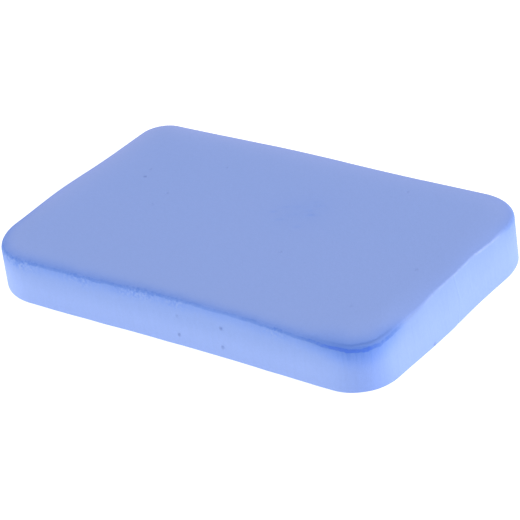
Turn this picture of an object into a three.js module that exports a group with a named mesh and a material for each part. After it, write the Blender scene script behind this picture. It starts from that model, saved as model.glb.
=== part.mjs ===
// A bar of detailing clay: one soft slab, pressed flat and trimmed at the sides, with nothing inside.
// Millimetres, +Z up. The origin is the middle of the underside, +X runs along the length and -Y is
// the front. The surface is a stack of rings: out over the foot, up the wall, over the rim and in
// across the edge of the top. A flat underside and the flat middle of the top close it.

import * as THREE from 'three';

// Driving dimensions
const LENGTH = 96; // at the foot
const WIDTH = 61; // at the foot
const THICKNESS = 10.4; // at the flat middle of the top
const DRAFT = 0.6; // how far each wall leans in between the foot and the rim
const TOP_BAND = 6; // width of the edge of the top, which sinks towards the rim
const FOOT_ROUND = 0.4; // radius of the bottom edge

// How finely it is drawn
const SIDE_STEPS = 14;
const CORNER_STEPS = 8;
const FOOT_STEPS = 2;
const RIM_STEPS = 4;
const TOP_STEPS = 4;

// The four sides, counterclockwise, each with the corner that ends it. The soft slab was trimmed by
// hand, so no two corners are alike and the sides aren't straight. bow is how far the middle of a
// side stands out at that level, and radius is the corner's. sway is how far a side leans out in
// its first half and in again in its second.
const SIDES = [
  // front
  {
    foot: { bow: -0.45, radius: 8.8 },
    rim: { bow: -0.45, radius: 6.7 },
    flat: { bow: -0.45, radius: 13 },
    sway: 0.05,
  },
  // right
  {
    foot: { bow: 0.15, radius: 13 },
    rim: { bow: 0.1, radius: 11 },
    flat: { bow: 0.1, radius: 12 },
    sway: 0.2,
  },
  // rear
  {
    foot: { bow: 0, radius: 7 },
    rim: { bow: 0, radius: 6 },
    flat: { bow: 0, radius: 10 },
    sway: -0.4,
  },
  // left
  {
    foot: { bow: 0, radius: 13.2 },
    rim: { bow: 0, radius: 11.6 },
    flat: { bow: 0, radius: 14 },
    sway: -0.3,
  },
];

// The rim, at bearings around the middle of the bar: degrees from +X, counterclockwise seen from
// above. drop is how far the rim lies below the flat of the top, and round is the radius with
// which it turns down into the wall.
const RIM = [
  { bearing: -125, drop: 0.6, round: 1 },
  { bearing: -90, drop: 0.12, round: 0.9 },
  { bearing: -60, drop: 0.06, round: 0.9 },
  { bearing: -31, drop: 0.95, round: 1.5 },
  { bearing: 0, drop: 0.05, round: 0.6 },
  { bearing: 30, drop: 0.45, round: 0.9 },
  { bearing: 90, drop: 0.2, round: 0.9 },
  { bearing: 148, drop: 0.45, round: 1.1 },
  { bearing: 180, drop: 0.3, round: 0.9 },
  { bearing: 210, drop: 0.68, round: 1.4 },
];
const FULL_TURN = 360;

const lerp = THREE.MathUtils.lerp;

// The rim's drop and round at a point, eased between the listed bearings on either side of it.
function rimAt(point) {
  const bearing = THREE.MathUtils.radToDeg(Math.atan2(point.y, point.x));
  const turn = (from, to) => THREE.MathUtils.euclideanModulo(to - from, FULL_TURN);
  const index = RIM.findIndex((entry, i) => {
    const following = RIM[(i + 1) % RIM.length];
    return turn(entry.bearing, bearing) < turn(entry.bearing, following.bearing);
  });
  const before = RIM[index];
  const after = RIM[(index + 1) % RIM.length];
  const part = turn(before.bearing, bearing) / turn(before.bearing, after.bearing);
  const ease = (1 - Math.cos(Math.PI * part)) / 2;
  return { drop: lerp(before.drop, after.drop, ease), round: lerp(before.round, after.round, ease) };
}

// The outline seen from above at one level (foot, rim or flat), drawn inset from the foot's: a list
// of points, each with its outward direction.
function outline(level, inset) {
  const points = [];
  SIDES.forEach((side, index) => {
    const halves = [LENGTH / 2 - inset, WIDTH / 2 - inset];
    const [reach, distance] = index % 2 === 0 ? halves : halves.reverse();
    const out = new THREE.Vector2(0, -1).rotateAround(new THREE.Vector2(), (index * Math.PI) / 2);
    const along = new THREE.Vector2(-out.y, out.x);
    const { bow, radius } = side[level];
    const start = SIDES[(index + SIDES.length - 1) % SIDES.length][level].radius - reach;
    const end = reach - radius;
    for (let step = 0; step < SIDE_STEPS; step += 1) {
      const part = step / SIDE_STEPS;
      const hump = Math.sin(Math.PI * part);
      const stand = bow * hump ** 2 + side.sway * Math.sin(2 * Math.PI * part) * hump;
      const point = along.clone().multiplyScalar(lerp(start, end, part));
      point.addScaledVector(out, distance + stand);
      points.push({ point, out });
    }
    const centre = along.clone().multiplyScalar(end).addScaledVector(out, distance - radius);
    for (let step = 0; step < CORNER_STEPS; step += 1) {
      const turned = out.clone();
      turned.rotateAround(new THREE.Vector2(), ((step / CORNER_STEPS) * Math.PI) / 2);
      points.push({ point: centre.clone().addScaledVector(turned, radius), out: turned });
    }
  });
  return points;
}

// The bottom edge: a quarter round from the underside out to the foot of the wall.
function footRings() {
  const foot = outline('foot', 0);
  return Array.from({ length: FOOT_STEPS + 1 }, (_, step) => {
    const angle = (step / FOOT_STEPS) * (Math.PI / 2);
    const tuck = FOOT_ROUND * (1 - Math.sin(angle));
    const height = FOOT_ROUND * (1 - Math.cos(angle));
    return foot.map(({ point, out }) => {
      const at = point.clone().addScaledVector(out, -tuck);
      return new THREE.Vector3(at.x, at.y, height);
    });
  });
}

// The rim: a quarter round from the top of the wall in to the edge of the top.
function rimRings() {
  const rim = outline('rim', DRAFT);
  return Array.from({ length: RIM_STEPS + 1 }, (_, step) => {
    const angle = (step / RIM_STEPS) * (Math.PI / 2);
    return rim.map(({ point, out }) => {
      const { drop, round } = rimAt(point);
      const at = point.clone().addScaledVector(out, -round * (1 - Math.cos(angle)));
      return new THREE.Vector3(at.x, at.y, THICKNESS - drop - round * (1 - Math.sin(angle)));
    });
  });
}

// The edge of the top: it rises from the rim and eases into the flat middle.
function topRings(rimRing) {
  const flat = outline('flat', DRAFT + TOP_BAND);
  return Array.from({ length: TOP_STEPS }, (_, step) => {
    const part = (step + 1) / TOP_STEPS;
    return flat.map(({ point }, i) => {
      const at = new THREE.Vector2(rimRing[i].x, rimRing[i].y).lerp(point, part);
      const drop = (THICKNESS - rimRing[i].z) * (1 - part) ** 2;
      return new THREE.Vector3(at.x, at.y, THICKNESS - drop);
    });
  });
}

// Joins the rings into one closed body, with a flat fan at each end, and centres it.
function slabGeometry() {
  const rimStack = rimRings();
  const rings = [...footRings(), ...rimStack, ...topRings(rimStack.at(-1))];
  const around = rings[0].length;
  const lastRing = (rings.length - 1) * around;
  const vertices = rings.flat();
  const underside = vertices.push(new THREE.Vector3(0, 0, 0)) - 1;
  const top = vertices.push(new THREE.Vector3(0, 0, THICKNESS)) - 1;
  const index = [];
  for (let i = 0; i < around; i += 1) {
    const j = (i + 1) % around;
    index.push(underside, j, i);
    for (let base = 0; base < lastRing; base += around) {
      const above = base + around;
      index.push(base + i, base + j, above + j);
      index.push(base + i, above + j, above + i);
    }
    index.push(top, lastRing + i, lastRing + j);
  }
  const geometry = new THREE.BufferGeometry().setFromPoints(vertices);
  geometry.setIndex(index);
  geometry.computeBoundingBox();
  const middle = geometry.boundingBox.getCenter(new THREE.Vector3());
  geometry.translate(-middle.x, -middle.y, 0);
  geometry.computeVertexNormals();
  return geometry;
}

// Matt, dusty blue clay
const clay = new THREE.MeshStandardMaterial({ color: 0x8da2de, roughness: 0.75, metalness: 0 });

const bar = new THREE.Mesh(slabGeometry(), clay);
bar.name = 'clay_bar';

const object = new THREE.Group();
object.name = 'detailing_clay_bar';
object.add(bar);

export default object;
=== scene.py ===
# A bar of blue detailing clay, with the fine surface that its plain CAD solid leaves out. Shapes are
# worked out in millimetres in the CAD's frame (+X along the bar, -Y its front, +Z up, origin in the
# middle of the underside), and become metres when the mesh is made.

import itertools
import math

import bmesh
import bpy
import numpy as np
from mathutils import Matrix, Vector
from mathutils.kdtree import KDTree


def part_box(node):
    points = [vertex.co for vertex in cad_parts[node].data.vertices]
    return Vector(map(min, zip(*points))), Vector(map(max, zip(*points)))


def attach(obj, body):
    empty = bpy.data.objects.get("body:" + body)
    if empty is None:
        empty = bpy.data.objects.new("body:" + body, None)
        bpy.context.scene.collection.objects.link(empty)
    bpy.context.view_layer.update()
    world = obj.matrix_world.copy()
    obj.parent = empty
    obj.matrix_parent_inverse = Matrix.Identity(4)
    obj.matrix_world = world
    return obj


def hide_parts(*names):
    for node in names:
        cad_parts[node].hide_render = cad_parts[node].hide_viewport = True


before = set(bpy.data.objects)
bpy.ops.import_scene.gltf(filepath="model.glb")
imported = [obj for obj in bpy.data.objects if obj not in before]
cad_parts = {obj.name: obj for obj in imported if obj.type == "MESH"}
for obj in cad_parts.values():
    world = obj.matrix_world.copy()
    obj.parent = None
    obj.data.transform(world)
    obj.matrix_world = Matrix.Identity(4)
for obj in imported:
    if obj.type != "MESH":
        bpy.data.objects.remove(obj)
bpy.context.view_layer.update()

MM = 0.001  # metres in a millimetre
FULL_TURN = 360

# The bar, as the CAD draws it
LENGTH = 96  # at the foot
WIDTH = 61  # at the foot
DRAFT = 0.6  # how far each wall leans in between the foot and the rim
TOP_BAND = 6  # width of the edge of the top, which sinks towards the rim
FOOT_ROUND = 0.4  # radius of the bottom edge
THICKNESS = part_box("clay_bar")[1].z / MM

# The four sides, counterclockwise, each with the corner that ends it. At each level: how far the
# middle of the side stands out, and the corner's radius. sway is how far the side leans out in its
# first half and in again in its second.
SIDES = [
    # front
    {"foot": (-0.45, 8.8), "rim": (-0.45, 6.7), "flat": (-0.45, 13), "sway": 0.05},
    # right
    {"foot": (0.15, 13), "rim": (0.1, 11), "flat": (0.1, 12), "sway": 0.2},
    # rear
    {"foot": (0, 7), "rim": (0, 6), "flat": (0, 10), "sway": -0.4},
    # left
    {"foot": (0, 13.2), "rim": (0, 11.6), "flat": (0, 14), "sway": -0.3},
]

# The rim by bearing (degrees from +X, counterclockwise), as in the CAD: how far it lies below the
# flat of the top, and the radius with which it turns down into the wall
RIM = [
    (-125, 0.6, 1),
    (-90, 0.12, 0.9),
    (-60, 0.06, 0.9),
    (-31, 0.95, 1.5),
    (0, 0.05, 0.6),
    (30, 0.45, 0.9),
    (90, 0.2, 0.9),
    (148, 0.45, 1.1),
    (180, 0.3, 0.9),
    (210, 0.68, 1.4),
]

# The right rim was cut: it is sharper than the CAD's, and it wavers in and out
CUT_REACH = 22  # as far as this bearing to each side of +X
CUT_ENDS = 6  # the degrees in which the cut stretch begins and ends
CUT_SHARPER = 0.2  # how much smaller the rim's radius is
WAVE = 0.15  # how far it wavers
WAVE_TURN = 16  # the degrees that one wave takes

# The front-right corner was pressed over, and a crease follows the rim just inside it
PRESSED_BEARING = -31
PRESSED_REACH = 5.5
CREASE_INSIDE = 0.6  # how far inside the rim the crease lies
CREASE_FURTHER = 0.8  # and how much further at the corner's own bearing

# Handling has rubbed the pale bloom off the rim, and the clay's own deep blue shows: by bearing, how
# deep the blue is. It is deepest at the pressed corner, and the right rim has none.
WORN = [
    (-155, 0.5),
    (-100, 0.5),
    (-60, 0.4),
    (-44, 0.5),
    (-34, 1.0),
    (-26, 0.6),
    (-18, 0.0),
    (18, 0.0),
    (25, 0.2),
    (45, 0.1),
    (150, 0.1),
    (190, 0.2),
]
LINE_UP = 0.3  # how far the line that the rim makes reaches in over the top
LINE_DOWN = 0.5  # and down the wall
TOP_BLUE = 0.7  # the fainter blue beyond it over the top, as a share of the line's depth
TOP_FADE = 1.3  # and the distance in which that fades
WALL_BLUE = 0.5  # the same down the wall
WALL_FADE = 1.8
PRESSED_FADE = 1.0  # how much further both reach at the pressed corner

# Painted light and dust round the rim, by bearing: what share of the usual painted bounce light from
# the floor lies towards the foot of the wall, how much more painted light lies all the way up the
# wall (painted sheen at the left corner), and how much dust and painted sheen lies on the edge of the
# top
PAINTED_LIGHT_AND_DUST = [
    (-150, 1.0, 0.7, 0.3),
    (-135, 1.0, 0.0, 0.0),
    (-43, 1.0, 0.0, 0.0),
    (-32, 0.0, 0.0, 0.0),
    (-20, 0.5, 0.3, 0.0),
    (20, 0.5, 0.3, 0.0),
    (35, 1.0, 0.2, 0.5),
    (110, 1.0, 0.1, 0.8),
    (150, 1.0, 0.1, 1.0),
    (180, 1.0, 0.2, 0.9),
]
DUST_AND_SHEEN_FADE = 2.6  # the distance in which the dust and painted sheen on the edge of the top fade

# A scratch down the right wall: the height and the Y of its ends and of the turn between them
SCRATCH = [(1, -1), (4, 0.5), (10, -0.5)]
SCRATCH_SHADE = -0.4  # how far to the side of the scratch's painted highlight its groove and painted shade are
SCRATCH_WIDTH = 0.35
SCRATCH_DEPTH = 0.04
RIGHT_WALL = LENGTH / 2 - 3  # what lies past this X, and below the rim, is the right wall

# How finely the skin is drawn
LONG_STEPS = 208  # along the front and the rear
SHORT_STEPS = 108  # along the right and the left
CORNER_STEPS = 44
FOOT_STEPS = 4
WALL_STEPS = 18
RIM_STEPS = 8
TOP_STEPS = 16
UNDER_MARGIN = 1.2  # the width of the underside's outer band, inside the bottom edge


def value_noise(seed):
    """Returns a smooth random function of place, from -1 to 1, whose lumps are about 1 unit wide."""
    cells = 32
    table = np.random.default_rng(seed).uniform(-1, 1, (cells, cells, cells))

    def noise(points):
        cell = np.floor(points).astype(int)
        part = points - cell
        ease = part * part * (3 - 2 * part)
        total = np.zeros(len(points))
        for corner in itertools.product((0, 1), repeat=3):
            weight = np.where(corner, ease, 1 - ease).prod(axis=1)
            i, j, k = ((cell + corner) % cells).T
            total += weight * table[i, j, k]
        return total

    return noise


def eased(bearings, stations):
    """The values listed at the stations' bearings, eased in between: one row for each bearing."""
    listed = np.array(stations, float)
    around = np.vstack([listed, listed[:1] + np.eye(1, listed.shape[1]) * FULL_TURN])
    turned = (bearings - around[0, 0]) % FULL_TURN + around[0, 0]
    index = np.searchsorted(around[:, 0], turned, side="right") - 1
    before = around[index]
    gap = around[index + 1] - before
    part = (turned - before[:, 0]) / gap[:, 0]
    return before[:, 1:] + gap[:, 1:] * (1 - np.cos(np.pi * part))[:, None] / 2


def bearing_of(points):
    return np.degrees(np.arctan2(points[:, 1], points[:, 0]))


def cut_stretch(bearing):
    """1 along the cut right rim, falling to 0 at its ends."""
    return np.clip((CUT_REACH - np.abs(bearing)) / CUT_ENDS, 0, 1)


def outline(level, inset):
    """The bar's outline seen from above at one level, drawn inset from the foot's. It starts at the
    middle of the front-left corner and runs counterclockwise. Returns the points and the directions
    out from them."""
    points = []
    outs = []
    for index, side in enumerate(SIDES):
        halves = [LENGTH / 2 - inset, WIDTH / 2 - inset]
        reach, distance = halves if index % 2 == 0 else halves[::-1]
        turn = np.radians(index * 90 - 90)
        out = np.array([np.cos(turn), np.sin(turn)])
        along = np.array([-out[1], out[0]])
        bow, radius = side[level]
        start = SIDES[index - 1][level][1] - reach
        end = reach - radius
        steps = LONG_STEPS if index % 2 == 0 else SHORT_STEPS
        part = np.arange(steps) / steps
        hump = np.sin(np.pi * part)
        stand = bow * hump**2 + side["sway"] * np.sin(2 * np.pi * part) * hump
        points.append(np.outer(start + (end - start) * part, along) + np.outer(distance + stand, out))
        outs.append(np.tile(out, (len(part), 1)))
        angle = np.arange(CORNER_STEPS) / CORNER_STEPS * np.pi / 2
        turned = np.outer(np.cos(angle), out) + np.outer(np.sin(angle), along)
        points.append(along * end + out * (distance - radius) + turned * radius)
        outs.append(turned)
    roll = CORNER_STEPS // 2
    return np.roll(np.vstack(points), roll, axis=0), np.roll(np.vstack(outs), roll, axis=0)


def raised(points, height):
    return np.column_stack([points, np.broadcast_to(height, len(points))])


def distance_to_ring(points, ring):
    """How far each point is from a ring, both seen from above, and the ring's nearest vertex."""
    tree = KDTree(len(ring))
    for index, (x, y, _) in enumerate(ring):
        tree.insert((x, y, 0), index)
    tree.balance()
    nearest = np.array([tree.find((x, y, 0))[1] for x, y, _ in points])
    distances = []
    for step in (-1, 1):
        corner = ring[nearest, :2]
        side = np.roll(ring, -step, axis=0)[nearest, :2] - corner
        offset = points[:, :2] - corner
        along = np.clip((offset * side).sum(axis=1) / (side**2).sum(axis=1), 0, 1)
        distances.append(np.linalg.norm(offset - side * along[:, None], axis=1))
    return np.minimum(*distances), nearest


def wall_and_top_rings():
    """Rings of points from the underside up the wall, over the rim and in across the edge of the
    top, and how far each point is across the rim: less than 0 down the wall, more on the top."""
    rings = []
    across = []
    foot, foot_out = outline("foot", 0)
    rim, rim_out = outline("rim", DRAFT)
    flat, _ = outline("flat", DRAFT + TOP_BAND)
    bearing = bearing_of(rim)
    drop, rounding = eased(bearing, RIM).T
    rounding -= CUT_SHARPER * cut_stretch(bearing)
    wave = WAVE * cut_stretch(bearing) * np.cos(2 * np.pi * bearing / WAVE_TURN)
    rim += rim_out * wave[:, None]
    eighth = rounding * np.pi / 4
    wall_top = THICKNESS - drop - rounding

    for step in range(FOOT_STEPS + 1):
        angle = step / FOOT_STEPS * math.pi / 2
        ring = foot - foot_out * FOOT_ROUND * (1 - math.sin(angle))
        rings.append(raised(ring, FOOT_ROUND * (1 - math.cos(angle))))
        across.append(rings[-1][:, 2] - wall_top - eighth)
    for step in range(1, WALL_STEPS):
        part = 1 - (1 - step / WALL_STEPS) ** 1.5
        height = FOOT_ROUND + (wall_top - FOOT_ROUND) * part
        rings.append(raised(foot + (rim - foot) * part, height))
        across.append(height - wall_top - eighth)
    for step in range(RIM_STEPS + 1):
        angle = step / RIM_STEPS * math.pi / 2
        ring = rim - rim_out * (rounding * (1 - math.cos(angle)))[:, None]
        rings.append(raised(ring, THICKNESS - drop - rounding * (1 - math.sin(angle))))
        across.append(rounding * angle - eighth)
    edge = rings[-1]
    for step in range(1, TOP_STEPS + 1):
        part = (step / TOP_STEPS) ** 1.3
        ring = edge[:, :2] + (flat - edge[:, :2]) * part
        rings.append(raised(ring, THICKNESS - (THICKNESS - edge[:, 2]) * (1 - part) ** 2))
        distance, nearest = distance_to_ring(rings[-1], edge)
        across.append(eighth[nearest] + distance)
    return rings, across, eighth


def grid_inside(ring, columns, rows):
    """Fills a ring with a grid that takes the ring's four stretches as its own edges."""
    front = ring[: columns + 1]
    right = ring[columns : columns + rows + 1]
    rear = ring[columns + rows : 2 * columns + rows + 1][::-1]
    left = np.vstack([ring[2 * columns + rows :], ring[:1]])[::-1]
    across = np.linspace(0, 1, columns + 1)[None, :, None]
    back = np.linspace(0, 1, rows + 1)[:, None, None]
    ruled = (1 - back) * front + back * rear + (1 - across) * left[:, None] + across * right[:, None]
    near = (1 - across) * front[0] + across * front[-1]
    far = (1 - across) * rear[0] + across * rear[-1]
    return ruled - (1 - back) * near - back * far


def grid_numbers(ring, columns, rows, first):
    """The vertex numbers of that grid: the ring's own round the edge, and new ones from first on."""
    numbers = np.empty((rows + 1, columns + 1), int)
    numbers[0] = ring[: columns + 1]
    numbers[:, -1] = ring[columns : columns + rows + 1]
    numbers[-1] = ring[columns + rows : 2 * columns + rows + 1][::-1]
    numbers[:, 0] = np.append(ring[2 * columns + rows :], ring[0])[::-1]
    numbers[1:-1, 1:-1] = first + np.arange((rows - 1) * (columns - 1)).reshape(rows - 1, -1)
    return numbers


def between(lower, upper):
    """Quads that face out between two rings of vertex numbers, or down if the lower is inside."""
    return np.stack([lower, np.roll(lower, -1), np.roll(upper, -1), upper], axis=1)


def grid_faces(numbers):
    """Quads that face up."""
    corners = [numbers[:-1, :-1], numbers[:-1, 1:], numbers[1:, 1:], numbers[1:, :-1]]
    return np.stack(corners, axis=-1).reshape(-1, 4)


def skin():
    """The whole skin: vertices, faces and how far each vertex is across the rim."""
    rings, across, eighth = wall_and_top_rings()
    around = len(rings[0])
    columns = LONG_STEPS + CORNER_STEPS
    rows = SHORT_STEPS + CORNER_STEPS
    vertices = np.vstack(rings)
    across = np.concatenate(across)
    numbers = np.arange(len(vertices)).reshape(-1, around)
    faces = np.vstack([between(low, high) for low, high in zip(numbers, numbers[1:])]).tolist()

    # The flat of the top
    inner = grid_inside(rings[-1], columns, rows)[1:-1, 1:-1].reshape(-1, 3)
    faces += grid_faces(grid_numbers(numbers[-1], columns, rows, len(vertices))).tolist()
    distance, nearest = distance_to_ring(inner, vertices[numbers[-1 - TOP_STEPS]])
    vertices = np.vstack([vertices, inner])
    across = np.append(across, eighth[nearest] + distance)

    # The underside: a ring with half as many vertices, then a grid with half as many each way
    foot, foot_out = outline("foot", 0)
    half = raised(foot - foot_out * (FOOT_ROUND + UNDER_MARGIN), 0)[::2]
    half_numbers = len(vertices) + np.arange(around // 2)
    vertices = np.vstack([vertices, half])
    outer = numbers[0].reshape(-1, 2)
    following = np.roll(outer[:, 0], -1)
    next_half = np.roll(half_numbers, -1)
    faces += np.stack([half_numbers, outer[:, 1], outer[:, 0]], axis=1).tolist()
    faces += np.stack([half_numbers, next_half, outer[:, 1]], axis=1).tolist()
    faces += np.stack([next_half, following, outer[:, 1]], axis=1).tolist()
    under = grid_inside(half, columns // 2, rows // 2)[1:-1, 1:-1].reshape(-1, 3)
    under_numbers = grid_numbers(half_numbers, columns // 2, rows // 2, len(vertices))
    faces += grid_faces(under_numbers)[:, ::-1].tolist()
    vertices = np.vstack([vertices, under])
    across = np.append(across, np.full(len(vertices) - len(across), -THICKNESS))
    return vertices, faces, across


# Small pits, each with the face that it is on and its place there. On the top a place is X, Y; on
# the front and the rear X, Z; on the right and the left Y, Z.
DEEP_PITS = [
    ("top", -33, 7),
    ("front", 3.5, 2.5),
    ("front", 14, 2.5),
    ("front", 14, 6.5),
    ("right", -10, 0.5),
    ("rear", 10, 3.5),
    ("left", -7, 4),
]
SHALLOW_PITS = [
    ("top", -34, 10),
    ("top", -19, 17),
    ("top", -24, 3),
    ("top", -24, -2),
    ("top", 22, 23),
    ("top", 40, -2),
    ("top", 36, -18),
    ("top", 12, -7),
    ("front", 3.5, 6.5),
    ("rear", -22, 5),
    ("rear", 30, 6),
    ("left", 13, 5.5),
]
PIT_RADIUS = 0.45
DEEP_PIT = 0.25
SHALLOW_PIT = 0.1
PITS = [(*pit, DEEP_PIT) for pit in DEEP_PITS] + [(*pit, SHALLOW_PIT) for pit in SHALLOW_PITS]

# Short smears gathered in one place on the top, which all run the same way
SMEAR_COUNT = 12
SMEAR_MIDDLE = (7, 8)
SMEAR_SPREAD = 3
SMEAR_WIDTH = 0.45
SMEAR_BEARING = 27
SMEAR_DEPTH = 0.03
SMEAR_BLUE = 0.06  # how much deep blue shows in one
RUBBED_REACH = 6  # the top is a little rubbed as far as this round them
RUBBED_BLUE = 0.04

# The torn stretches of the front rim: the X of each one's middle, how far it runs to each side, and
# how badly it is torn
TORN = [(-37, 5, 1.0), (-20, 4, 0.7), (-6, 5, 1.0), (3, 3, 0.6), (27, 3, 0.5)]

# The clay lets a little light through, so the top is bluer where the rim has the bright right wall
# below it. It is so as far as this bearing to each side of +X.
BLUE_EDGE_REACH = 30

FACING = 0.7  # a face is what turns at least this far (a cosine) the way that the face looks
UNDERSIDE = 0.01  # what is lower than this is the underside
FACE_AXES = {"top": (0, 1), "front": (0, 2), "rear": (0, 2), "right": (1, 2), "left": (1, 2)}
FACE_OUT = {
    "top": (0, 0, 1),
    "front": (0, -1, 0),
    "rear": (0, 1, 0),
    "right": (1, 0, 0),
    "left": (-1, 0, 0),
}


def mark_distances(face, place, points, normals):
    """How far each point is from a mark, or a long way if it isn't on the mark's face."""
    offset = points[:, FACE_AXES[face]] - place
    on_face = normals @ np.array(FACE_OUT[face]) > FACING
    return np.where(on_face, np.linalg.norm(offset, axis=1), LENGTH)


def refine(mesh, reach, cuts):
    """Cuts the faces round each pit into smaller ones."""
    points, normals = vertex_arrays(mesh)
    near = np.zeros(len(points), bool)
    for face, u, v, _ in PITS:
        near |= mark_distances(face, (u, v), points, normals) < PIT_RADIUS * reach
    work = bmesh.new()
    work.from_mesh(mesh)
    edges = [e for e in work.edges if near[e.verts[0].index] and near[e.verts[1].index]]
    bmesh.ops.subdivide_edges(work, edges=edges, cuts=cuts, use_grid_fill=True)
    work.to_mesh(mesh)
    work.free()


def vertex_arrays(mesh):
    """The mesh's vertices in millimetres, and their normals."""
    points = np.empty(len(mesh.vertices) * 3, np.float32)
    normals = np.empty_like(points)
    mesh.vertices.foreach_get("co", points)
    mesh.vertex_normals.foreach_get("vector", normals)
    return points.reshape(-1, 3).astype(float) / MM, normals.reshape(-1, 3).astype(float)


def bump(distance, middle, width):
    """1 at the middle, falling to 0 well past a width from it."""
    return np.exp(-(((distance - middle) / width) ** 2))


def uneven(points, across):
    """Slow unevenness from pressing the slab, and the wall's waves from trimming it."""
    out = value_noise(3)(points / 22) * 0.06 + value_noise(4)(points / 5) * 0.012
    return out + value_noise(5)(points / (4, 4, 14)) * 0.05 * np.clip(-across / 2, 0, 1)


def torn_rim(points, across):
    """Where the rim of the front is torn, and the granular edge that hangs over the wall there."""
    torn = np.zeros(len(points))
    for middle, reach, badly in TORN:
        torn = np.maximum(torn, badly * bump(points[:, 0], middle, reach))
    torn *= points[:, 1] < 0
    grains = value_noise(6)(points / 0.55) + value_noise(7)(points / 1.3)
    return torn, torn * bump(across, -0.8, 0.8) * (grains * 0.07 - 0.04)


def pressed_corner(bearing, across):
    """Where the corner is pressed over, how far inside the rim its crease lies, and its relief."""
    pressed = bump(bearing, PRESSED_BEARING, PRESSED_REACH)
    crease_at = CREASE_INSIDE + CREASE_FURTHER * pressed
    ridge = bump(across, crease_at * 0.45, 0.3) * 0.07
    crease = bump(across, crease_at, 0.28) * 0.09
    return pressed, crease_at, pressed * (ridge - crease)


def right_lip(points, bearing, across):
    """Where the thin lip of the cut right rim stands, and its relief."""
    lip = cut_stretch(bearing) * np.clip(0.5 + value_noise(10)(points / 3), 0, 1)
    return lip, lip * bump(across, 0.05, 0.2) * (0.04 + 0.03 * value_noise(9)(points / 1.1))


def pitted(points, normals):
    """How much of a pit each point is in, which the material darkens as painted shade, and the pits'
    relief: a bowl with a low edge round it.
    """
    pit = np.zeros(len(points))
    out = np.zeros(len(points))
    for face, u, v, depth in PITS:
        distance = mark_distances(face, (u, v), points, normals) / PIT_RADIUS
        bowl = np.clip(1 - distance**2, 0, 1) ** 2
        out += depth * (bump(distance, 1.1, 0.3) * 0.12 - bowl)
        pit = np.maximum(pit, np.clip(1.3 - distance, 0, 1) * depth / DEEP_PIT)
    return pit, out


def smeared(points, normals):
    """How much deep blue the smears and the rubbed place round them show, and their relief."""
    smear = np.zeros(len(points))
    out = np.zeros(len(points))
    run = np.radians(SMEAR_BEARING)
    on_top = normals[:, 2] > FACING
    scatter = np.random.default_rng(11)
    for _ in range(SMEAR_COUNT):
        offset = points[:, :2] - SMEAR_MIDDLE - scatter.normal(0, SMEAR_SPREAD, 2)
        forward = offset @ (np.cos(run), np.sin(run)) / scatter.uniform(0.5, 1.3)
        sideways = offset @ (-np.sin(run), np.cos(run)) / SMEAR_WIDTH
        soft = scatter.uniform(0.5, 1.5) * on_top * np.exp(-(forward**2) - sideways**2)
        out -= SMEAR_DEPTH * soft
        smear += SMEAR_BLUE * soft
    from_smears = np.linalg.norm(points[:, :2] - SMEAR_MIDDLE, axis=1)
    smear += RUBBED_BLUE * on_top * bump(from_smears, 0, RUBBED_REACH)
    return smear, out


def painted_light_and_dust(bearing, across):
    """Painted light at the foot of the wall and up it, and the powder and painted sheen on the top's
    edge.
    """
    foot_floor_light, whole_wall_light, top_dust_and_sheen = eased(bearing, PAINTED_LIGHT_AND_DUST).T
    whole_wall_light *= np.clip((-across - 0.7) / 2.8, 0, 1)
    top_dust_and_sheen *= np.exp(-across / DUST_AND_SHEEN_FADE) * np.clip(across / 0.5, 0, 1)
    return dict(foot_floor_light=foot_floor_light, whole_wall_light=whole_wall_light, top_dust_and_sheen=top_dust_and_sheen)


def lit_edge(bearing, across):
    """How much light comes through at the edge of the top, along the right rim."""
    reached = np.clip((BLUE_EDGE_REACH - np.abs(bearing)) / 12, 0, 1)
    return reached * np.clip(across / 0.4, 0, 1) * np.exp(-across / 1.7)


def relief(points, normals, across):
    """How far each vertex moves out along its normal, and the values that the material reads."""
    bearing = bearing_of(points)
    torn, torn_out = torn_rim(points, across)
    pressed, crease_at, pressed_out = pressed_corner(bearing, across)
    lip, lip_out = right_lip(points, bearing, across)
    pit, pit_out = pitted(points, normals)
    smear, smear_out = smeared(points, normals)
    on_right = (points[:, 0] > RIGHT_WALL) & (across < 0)
    scratch = points[:, 1] - np.interp(points[:, 2], *np.transpose(SCRATCH))
    scratch_out = on_right * bump(scratch, SCRATCH_SHADE, SCRATCH_WIDTH) * SCRATCH_DEPTH

    out = uneven(points, across) + torn_out + pressed_out + lip_out - scratch_out
    out += pit_out + smear_out
    out[points[:, 2] < UNDERSIDE] = 0

    values = {
        "across": across,
        "line": eased(bearing, WORN)[:, 0],
        "top_fade": TOP_FADE + PRESSED_FADE * pressed,
        "wall_fade": WALL_FADE + PRESSED_FADE * pressed,
        "blue_edge": lit_edge(bearing, across),
        "crease": across - crease_at,
        "torn": torn,
        "pressed": pressed,
        "lip": lip,
        "pit": pit,
        "smear": smear,
        "scratch": scratch,
        "on_right": on_right,
    }
    return out, values | painted_light_and_dust(bearing, across)


def set_attribute(mesh, name, values):
    attribute = mesh.attributes.get(name) or mesh.attributes.new(name, "FLOAT", "POINT")
    attribute.data.foreach_set("value", np.asarray(values, np.float32))


def get_attribute(mesh, name):
    values = np.empty(len(mesh.vertices), np.float32)
    mesh.attributes[name].data.foreach_get("value", values)
    return values.astype(float)


def centred(points):
    """Moves the points so that their box has the same middle as the CAD bar's, and the same size."""
    low, high = (np.array(corner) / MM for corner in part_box("clay_bar"))
    middle = (points.min(axis=0) + points.max(axis=0)) / 2
    size = np.ptp(points, axis=0)
    scale = (high - low) / size
    return (points - middle) * scale + (low + high) / 2


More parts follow.
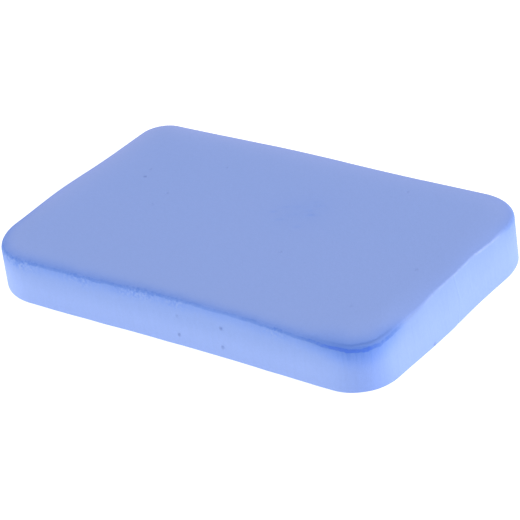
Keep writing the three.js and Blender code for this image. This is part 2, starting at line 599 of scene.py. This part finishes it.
def make_bar():
    vertices, faces, across = skin()
    mesh = bpy.data.meshes.new("detailing_clay_bar")
    mesh.from_pydata((centred(vertices) * MM).tolist(), [], faces)
    set_attribute(mesh, "across", across)
    refine(mesh, reach=2.2, cuts=2)
    points, normals = vertex_arrays(mesh)
    out, values = relief(points, normals, get_attribute(mesh, "across"))
    points += normals * out[:, None]
    points[:, 2] = np.maximum(points[:, 2], 0)
    mesh.vertices.foreach_set("co", (points * MM).ravel())
    for name, column in values.items():
        set_attribute(mesh, name, column)
    mesh.shade_smooth()
    mesh.update()
    bar = bpy.data.objects.new("detailing_clay_bar", mesh)
    bpy.context.scene.collection.objects.link(bar)
    return bar


class Shader:
    """Adds nodes to one material and links them. An input is a value or another node's output."""

    def __init__(self, name):
        self.material = bpy.data.materials.new(name)
        self.material.use_nodes = True
        self.tree = self.material.node_tree
        self.surface = self.tree.nodes["Principled BSDF"]

    def connect(self, socket, source):
        if isinstance(source, bpy.types.NodeSocket):
            self.tree.links.new(source, socket)
        else:
            socket.default_value = source

    def node(self, kind, inputs, **settings):
        node = self.tree.nodes.new(kind)
        for name, value in settings.items():
            setattr(node, name, value)
        for key, source in inputs.items():
            self.connect(node.inputs[key], source)
        return node

    def math(self, operation, first, second=0.0, third=0.0, clamp=False):
        inputs = {0: first, 1: second, 2: third}
        return self.node("ShaderNodeMath", inputs, operation=operation, use_clamp=clamp).outputs[0]

    def line(self, value, middle, width):
        """1 where the value is at the middle, falling smoothly to 0 at a width from it."""
        offset = self.math("ABSOLUTE", self.math("SUBTRACT", value, middle))
        inputs = {"Value": offset, 1: width, 2: 0.0, 3: 0.0, 4: 1.0}
        return self.node("ShaderNodeMapRange", inputs, interpolation_type="SMOOTHSTEP").outputs[0]

    def past(self, value, width):
        """0 well below zero, 1 well above it, and a smooth step in between."""
        inputs = {"Value": value, 1: -width, 2: width, 3: 0.0, 4: 1.0}
        return self.node("ShaderNodeMapRange", inputs, interpolation_type="SMOOTHSTEP").outputs[0]

    def height(self):
        """Height above the underside, in millimetres."""
        own = self.node("ShaderNodeTexCoord", {}).outputs["Object"]
        z = self.node("ShaderNodeSeparateXYZ", {0: own}).outputs[2]
        return self.math("DIVIDE", z, MM)

    def attribute(self, name):
        return self.node("ShaderNodeAttribute", {}, attribute_name=name).outputs["Fac"]

    def places(self, stretch):
        """The bar's own coordinates, divided by stretch (millimetres along X, Y and Z)."""
        own = self.node("ShaderNodeTexCoord", {}).outputs["Object"]
        scale = [1 / (size * MM) for size in stretch]
        return self.node("ShaderNodeMapping", {"Vector": own, "Scale": scale}).outputs[0]

    def noise(self, stretch, detail=2.0, roughness=0.5):
        """Noise from 0 to 1 whose lumps are about stretch millimetres wide along X, Y and Z."""
        inputs = {
            "Vector": self.places(stretch),
            "Scale": 1.0,
            "Detail": detail,
            "Roughness": roughness,
        }
        return self.node("ShaderNodeTexNoise", inputs).outputs[0]

    def spread(self, value, low, high):
        """Turns noise around 0.5 into a value that runs from low to high."""
        inputs = {"Value": value, 1: 0.25, 2: 0.75, 3: low, 4: high}
        return self.node("ShaderNodeMapRange", inputs).outputs[0]

    def mix(self, factor, first, second, blend="MIX"):
        inputs = {0: factor, 6: first, 7: second}
        settings = {"data_type": "RGBA", "blend_type": blend, "clamp_factor": True}
        return self.node("ShaderNodeMix", inputs, **settings).outputs[2]

    def mix_values(self, factor, first, second):
        return self.node("ShaderNodeMix", {0: factor, 2: first, 3: second}).outputs[0]

    def bump(self, height, distance, normal=None):
        """Relief in the shading only: distance is how deep the height's range is, in millimetres."""
        inputs = {"Height": height, "Distance": distance * MM, "Strength": 1.0}
        if normal is not None:
            inputs["Normal"] = normal
        return self.node("ShaderNodeBump", inputs).outputs[0]


PALE = (0.2335, 0.331, 0.690, 1)  # the dusty bloom on the top
CUT_LIGHT_TINTED = (0.225, 0.328, 0.664, 1)  # the bloom on the cut sides, with a painted tint of the light on the walls
CUT_CORNER = (0.216, 0.326, 0.725, 1)  # and below the pressed corner, where it is bluer
PAINTED_PALE_LIGHT = (0.290, 0.400, 0.765, 1)  # painted bounce light and sheen on the walls
LILAC_DUST_AND_SHEEN = (0.335, 0.407, 0.780, 1)  # dust and painted sheen on the edge of the top
EDGE_BLUE = (0.244, 0.359, 0.790, 1)  # the light that comes through by the right rim
CLOUDED = (0.209, 0.325, 0.685, 1)  # where the bloom is thin, in broad clouds
MOTTLED = (0.284, 0.382, 0.725, 1)  # and where it is thick, in small patches
LIP_HIGHLIGHT = (0.315, 0.415, 0.800, 1)  # painted highlight on the lip of the right rim
BARE_RED = 0.24  # how much of the bloom's red is left where the clay is quite bare
BARE_GREEN = 0.44
BARE_BLUE = 0.88


def worn_and_shaded(shader, streaks, specks, fold_shading):
    """How bare the clay is, from the distance across the rim and the values on the mesh, with painted
    shade in the pressed corner's crease and a painted highlight on its thread added in. Returns that
    distance too, as it is shaken here."""
    ragged = shader.spread(shader.noise((0.6, 0.6, 0.45), detail=3), -1, 1)
    slow = shader.spread(shader.noise((3, 3, 1.5), detail=2), -1, 1)
    shake = shader.math("MULTIPLY_ADD", shader.attribute("torn"), 0.30, 0.06)
    across = shader.math("MULTIPLY_ADD", ragged, shake, shader.attribute("across"))
    across = shader.math("MULTIPLY_ADD", slow, 0.18, across)
    on_top = shader.past(across, 0.15)

    # The line that the rim makes
    above = shader.past(shader.math("SUBTRACT", LINE_UP, across), 0.20)
    below = shader.past(shader.math("ADD", across, LINE_DOWN), 0.20)
    patches = shader.spread(shader.noise((2.2, 2.2, 2.2), detail=2), 0.86, 1.14)
    line = shader.math("MULTIPLY", shader.attribute("line"), patches)
    line = shader.math("MULTIPLY", line, shader.math("MULTIPLY", above, below))
    line = shader.math("MULTIPLY", line, shader.math("MULTIPLY_ADD", specks, 0.16, 1.0))

    # The fainter blue on either side of it
    over = shader.math("DIVIDE", shader.math("MAXIMUM", across, 0.0), shader.attribute("top_fade"))
    over = shader.math("MULTIPLY", shader.math("POWER", over, 1.5), -1.0)
    over = shader.math("MULTIPLY", shader.math("EXPONENT", over), TOP_BLUE)
    over = shader.math("MULTIPLY", over, shader.attribute("line"))
    down = shader.math("DIVIDE", across, shader.attribute("wall_fade"))
    down = shader.math("MULTIPLY", down, shader.math("MULTIPLY", down, -1.0))
    down = shader.math("MULTIPLY", shader.math("EXPONENT", down), WALL_BLUE)
    down = shader.math("MULTIPLY", down, shader.attribute("line"))
    down = shader.math("MULTIPLY", down, shader.math("MULTIPLY_ADD", streaks, 0.3, 1.0))
    wear_and_fold_shading = shader.math("MAXIMUM", line, shader.mix_values(on_top, down, over))

    # Crumbs of bare clay and of bloom below a torn stretch, and smears on the top
    crumbs = shader.math("MULTIPLY", shader.attribute("torn"), shader.line(across, -1.0, 1.6))
    wear_and_fold_shading = shader.math("MULTIPLY_ADD", shader.math("MULTIPLY", crumbs, specks), 0.33, wear_and_fold_shading)
    wear_and_fold_shading = shader.math("ADD", wear_and_fold_shading, shader.attribute("smear"))

    # The pressed corner's crease: painted shade makes it a deeper blue, and a painted highlight makes
    # its thread paler
    wear_and_fold_shading = shader.math("MULTIPLY_ADD", fold_shading, 0.14, wear_and_fold_shading, clamp=True)
    return wear_and_fold_shading, across


def fold_shade_and_highlight(shader):
    """Painted shade and highlight of the pressed corner's fold: 1 in its crease, where shade is
    painted, and
    -0.6 on the thread of clay that stands up between the crease and the rim, where a highlight is
    painted."""
    wobble = shader.spread(shader.noise((1.4, 1.4, 1.4), detail=2), -0.15, 0.15)
    from_crease = shader.math("ADD", shader.attribute("crease"), wobble)
    thread = shader.math("MULTIPLY", shader.line(from_crease, -0.70, 0.30), -0.6)
    fold_shading = shader.math("ADD", shader.line(from_crease, 0.0, 0.40), thread)
    return shader.math("MULTIPLY", shader.attribute("pressed"), fold_shading)


def scratch_shading(shader):
    """The painted highlight and shade of the scratch in the right wall, in the tone: a pale edge
    beside its groove, and a dark one in it.
    """
    beside = shader.attribute("scratch")
    pale = shader.math("MULTIPLY", shader.line(beside, 0.0, SCRATCH_WIDTH), 0.08)
    dark = shader.math("MULTIPLY", shader.line(beside, SCRATCH_SHADE, SCRATCH_WIDTH), -0.07)
    depth = shader.spread(shader.noise((1.3, 1.3, 1.3)), 0.2, 1.3)
    depth = shader.math("MULTIPLY", shader.attribute("on_right"), depth)
    return shader.math("MULTIPLY", depth, shader.math("ADD", pale, dark))


def clay():
    shader = Shader("detailing_clay")
    clouds = shader.spread(shader.noise((9, 9, 9), detail=3), 0, 1)
    mottle = shader.spread(shader.noise((1.6, 1.6, 1.6), detail=3), 0, 1)
    grain = shader.noise((0.28, 0.28, 0.28), detail=2)
    streaks = shader.spread(shader.noise((0.7, 0.7, 9), detail=3), -1, 1)
    specks = shader.spread(shader.noise((0.55, 0.55, 0.55), detail=1), -1, 1)
    fold_shading = fold_shade_and_highlight(shader)
    wear_and_fold_shading, across = worn_and_shaded(shader, streaks, specks, fold_shading)

    # Painted light: bounce light from the floor pales the wall towards its foot, a sheen pales the
    # left corner and, with dust, the edge of the top, and a highlight lies on the lip
    foot = {"Value": shader.height(), 1: 7.2, 2: 2.8, 3: 0.0, 4: 0.50}
    foot = shader.node("ShaderNodeMapRange", foot, interpolation_type="SMOOTHSTEP").outputs[0]
    foot = shader.math("MULTIPLY", foot, shader.attribute("foot_floor_light"))
    painted_wall_light = shader.math("ADD", foot, shader.attribute("whole_wall_light"))
    # The walls' bloom carries a painted tint of the light that falls on them
    cut = shader.mix(shader.attribute("pressed"), CUT_LIGHT_TINTED, CUT_CORNER)
    bloom_and_light = shader.mix(shader.past(across, 0.4), cut, PALE)
    bloom_and_light = shader.mix(shader.math("MULTIPLY", clouds, 0.10), bloom_and_light, CLOUDED)
    bloom_and_light = shader.mix(shader.math("MULTIPLY", mottle, 0.08), bloom_and_light, MOTTLED)
    bloom_and_light = shader.mix(painted_wall_light, bloom_and_light, PAINTED_PALE_LIGHT)
    # Dust and painted sheen on the edge of the top
    bloom_and_light = shader.mix(shader.attribute("top_dust_and_sheen"), bloom_and_light, LILAC_DUST_AND_SHEEN)
    bloom_and_light = shader.mix(shader.attribute("blue_edge"), bloom_and_light, EDGE_BLUE)
    # Painted highlight where the lip of the right rim catches the light
    lip = shader.math("MULTIPLY", shader.attribute("lip"), shader.line(across, -0.05, 0.38))
    lip = shader.math("MULTIPLY", lip, shader.spread(shader.noise((1.1, 1.1, 1.1)), 0.3, 0.9))
    bloom_and_light = shader.mix(lip, bloom_and_light, LIP_HIGHLIGHT)

    # The barer the clay, the more of the light it takes: least of the blue, and most of the red
    red = shader.math("POWER", BARE_RED, wear_and_fold_shading)
    green = shader.math("POWER", BARE_GREEN, wear_and_fold_shading)
    deep = {"Value": wear_and_fold_shading, 1: 0.05, 2: 0.65, 3: 1.0, 4: BARE_BLUE}
    deep = shader.node("ShaderNodeMapRange", deep, interpolation_type="SMOOTHSTEP").outputs[0]
    tint = shader.node("ShaderNodeCombineColor", {0: red, 1: green, 2: deep}).outputs[0]
    colour = shader.mix(1.0, bloom_and_light, tint, "MULTIPLY")

    # Grain, trimming streaks, painted shade and highlight at the corner's crease, the scratch's
    # painted highlight and shade, painted shade behind the lip and painted shade in the pits
    tone = shader.math("MULTIPLY_ADD", streaks, 0.012, shader.spread(grain, 0.98, 1.02))
    speckled = shader.mix_values(shader.past(across, 0.4), 0.014, 0.004)
    tone = shader.math("MULTIPLY_ADD", specks, speckled, tone)
    # Painted shade in the crease and painted highlight on the thread beside it
    tone = shader.math("MULTIPLY_ADD", fold_shading, -0.05, tone)
    tone = shader.math("ADD", scratch_shading(shader), tone)
    # Painted shade in the hollow behind the lip
    shade_behind_lip = shader.math("MULTIPLY", shader.attribute("lip"), shader.line(across, 0.75, 0.4))
    tone = shader.math("MULTIPLY_ADD", shade_behind_lip, -0.035, tone)
    # Painted shade in the pits
    tone = shader.math("MULTIPLY_ADD", shader.attribute("pit"), -0.14, tone)
    grey = shader.node("ShaderNodeCombineColor", {0: tone, 1: tone, 2: tone}).outputs[0]
    colour = shader.mix(1.0, colour, grey, "MULTIPLY")
    shader.connect(shader.surface.inputs["Base Color"], colour)

    roughness = shader.math("MULTIPLY_ADD", wear_and_fold_shading, -0.12, shader.spread(mottle, 0.66, 0.76))
    shader.connect(shader.surface.inputs["Roughness"], roughness)
    shader.surface.inputs["Specular IOR Level"].default_value = 0.3

    normal = shader.bump(grain, 0.02)
    normal = shader.bump(streaks, 0.010, normal)
    normal = shader.bump(mottle, 0.02, normal)
    shader.connect(shader.surface.inputs["Normal"], normal)
    return shader.material


# The stage
FLOOR_SIZE = 6000
FLOOR_GLOW = 0.8
FLOOR_DROP = 0.02  # keeps the floor clear of the underside


def make_floor():
    half = FLOOR_SIZE / 2 * MM
    mesh = bpy.data.meshes.new("floor")
    corners = [(-half, -half, 0), (half, -half, 0), (half, half, 0), (-half, half, 0)]
    mesh.from_pydata(corners, [], [(0, 1, 2, 3)])
    floor = bpy.data.objects.new("floor", mesh)
    bpy.context.scene.collection.objects.link(floor)
    floor.location.z = -FLOOR_DROP * MM
    shader = Shader("white_floor")
    paper = shader.spread(shader.noise((3, 3, 3)), 0.49, 0.51)
    shade = shader.node("ShaderNodeCombineColor", {0: paper, 1: paper, 2: paper}).outputs[0]
    shader.connect(shader.surface.inputs["Base Color"], shade)
    shader.surface.inputs["Roughness"].default_value = 0.9
    shader.surface.inputs["Specular IOR Level"].default_value = 0.0
    shader.surface.inputs["Emission Color"].default_value = (1, 1, 1, 1)
    shader.surface.inputs["Emission Strength"].default_value = FLOOR_GLOW
    mesh.materials.append(shader.material)


SKY = 0.72  # how brightly the surrounding white lights a face that nothing shades


def make_surroundings():
    """White all round. The camera sees it as plain white, and it lights the bar a little less."""
    world = bpy.data.worlds.new("white")
    world.use_nodes = True
    tree = world.node_tree
    path = tree.nodes.new("ShaderNodeLightPath")
    strength = tree.nodes.new("ShaderNodeMapRange")
    strength.inputs["To Min"].default_value = SKY
    strength.inputs["To Max"].default_value = 1.0
    tree.links.new(path.outputs["Is Camera Ray"], strength.inputs["Value"])
    tree.nodes["Background"].inputs["Color"].default_value = (1, 1, 1, 1)
    tree.links.new(strength.outputs[0], tree.nodes["Background"].inputs["Strength"])
    bpy.context.scene.world = world


def make_soft_light(name, bearing, elevation, strength, distance=1.2, size=0.9):
    """A square soft light that looks at the bar. strength is the light that it casts on a face
    turned to it, in the same units as SKY."""
    turn, rise = math.radians(bearing), math.radians(elevation)
    aim = Vector((math.cos(turn) * math.cos(rise), math.sin(turn) * math.cos(rise), math.sin(rise)))
    data = bpy.data.lights.new(name, "AREA")
    data.size = size
    data.energy = strength * math.pi**2 * distance**2
    light = bpy.data.objects.new(name, data)
    light.location = aim * distance
    light.rotation_euler = aim.to_track_quat("Z", "Y").to_euler()
    bpy.context.scene.collection.objects.link(light)


# The camera: its place seen from the bar, how it is tilted, and what it looks at
CAMERA_AZIMUTH = 40.23
CAMERA_ELEVATION = 29.68
CAMERA_ROLL = -8.35
CAMERA_DISTANCE = 469.9
CAMERA_AIM = (-1.64, 2.70, 0)
SENSOR = 36
LENS = 161.17


def make_camera():
    azimuth, elevation, roll = map(math.radians, (CAMERA_AZIMUTH, CAMERA_ELEVATION, CAMERA_ROLL))
    level = math.cos(elevation)
    back = Vector((math.sin(azimuth) * level, -math.cos(azimuth) * level, math.sin(elevation)))
    right = Vector((math.cos(azimuth), math.sin(azimuth), 0))
    up = back.cross(right)
    turned_right = right * math.cos(roll) + up * math.sin(roll)
    turned_up = up * math.cos(roll) - right * math.sin(roll)
    data = bpy.data.cameras.new("camera")
    data.sensor_width = SENSOR
    data.lens = LENS
    camera = bpy.data.objects.new("camera", data)
    axes = Matrix((turned_right, turned_up, back)).transposed()
    place = (Vector(CAMERA_AIM) + back * CAMERA_DISTANCE) * MM
    camera.matrix_world = Matrix.Translation(place) @ axes.to_4x4()
    bpy.context.scene.collection.objects.link(camera)
    bpy.context.scene.camera = camera


make_camera()
make_floor()
make_surroundings()
make_soft_light("right_light", bearing=25, elevation=18, strength=0.80)
make_soft_light("front_light", bearing=-130, elevation=20, strength=0.48)
bpy.context.scene.view_settings.view_transform = "Standard"

bar = make_bar()
bar.data.materials.append(clay())
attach(bar, "root")
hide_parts("clay_bar")
